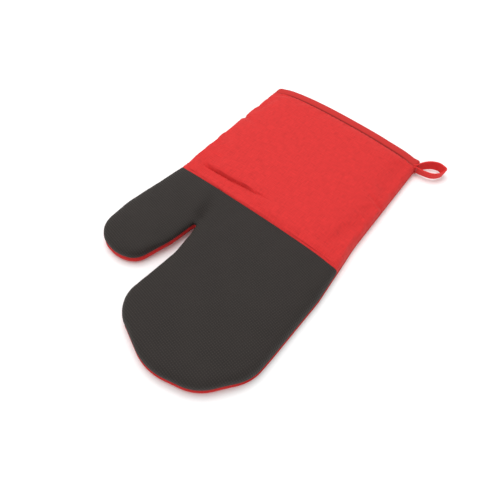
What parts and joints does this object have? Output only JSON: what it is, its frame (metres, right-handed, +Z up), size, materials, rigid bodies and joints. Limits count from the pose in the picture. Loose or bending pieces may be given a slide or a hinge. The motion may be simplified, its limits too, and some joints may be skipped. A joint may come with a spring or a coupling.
{
  "type": "oven mitt",
  "caption": "Padded cotton oven mitt with a grippy neoprene palm and thumb, bound cuff mouth and a hanging loop, lying palm side up.",
  "frame": {"origin": "middle of the whole outline, on the resting face of the back panel", "axes": "+Y from the fingertips to the cuff mouth, +X away from the thumb, +Z up out of the palm"},
  "size_m": [0.2045, 0.3144, 0.0186],
  "materials": {
    "neoprene": "matte, fine embossed grid",
    "red_cotton": "matte woven cotton drill",
    "red_tape": "matte folded cotton tape",
    "wadding": "loose fibre wadding",
    "lining_cloth": "matte plain-weave cotton",
    "red_thread": "twisted sewing thread",
    "neoprene_thread": "twisted sewing thread"
  },
  "bodies": {
    "hand": {"palm_neoprene_hand": "neoprene", "back_cotton_hand": "red_cotton", "palm_batting_hand": "wadding", "back_batting_hand": "wadding", "palm_lining_hand": "lining_cloth", "back_lining_hand": "lining_cloth", "outline_seam_thread_hand": "red_thread", "palm_cuff_cotton": "red_cotton", "mouth_binding": "red_tape", "palm_join_stitches": "neoprene_thread", "binding_stitches": "red_thread", "loop_bartack": "red_thread"},
    "thumb": {"palm_neoprene_thumb": "neoprene", "back_cotton_thumb": "red_cotton", "palm_batting_thumb": "wadding", "back_batting_thumb": "wadding", "palm_lining_thumb": "lining_cloth", "back_lining_thumb": "lining_cloth", "outline_seam_thread_thumb": "red_thread"},
    "fingers": {"palm_neoprene_fingers": "neoprene", "back_cotton_fingers": "red_cotton", "palm_batting_fingers": "wadding", "back_batting_fingers": "wadding", "palm_lining_fingers": "lining_cloth", "back_lining_fingers": "lining_cloth", "outline_seam_thread_fingers": "red_thread"},
    "loop": {"hanging_loop": "red_tape"}
  },
  "joints": [
    {"name": "thumb_fold", "type": "hinge", "parent": "hand", "child": "thumb", "pos_m": [-0.0645, -0.017, 0.0186], "axis": [-0.8087, 0.5882, 0], "range_deg": [0, 60]},
    {"name": "finger_fold", "type": "hinge", "parent": "hand", "child": "fingers", "pos_m": [0.026, -0.086, 0.0186], "axis": [-1, 0, 0], "range_deg": [0, 75]},
    {"name": "loop_swing", "type": "hinge", "parent": "hand", "child": "loop", "pos_m": [0.0774, 0.14, 0.0108], "axis": [0, -1, 0], "range_deg": [0, 90]}
  ]
}
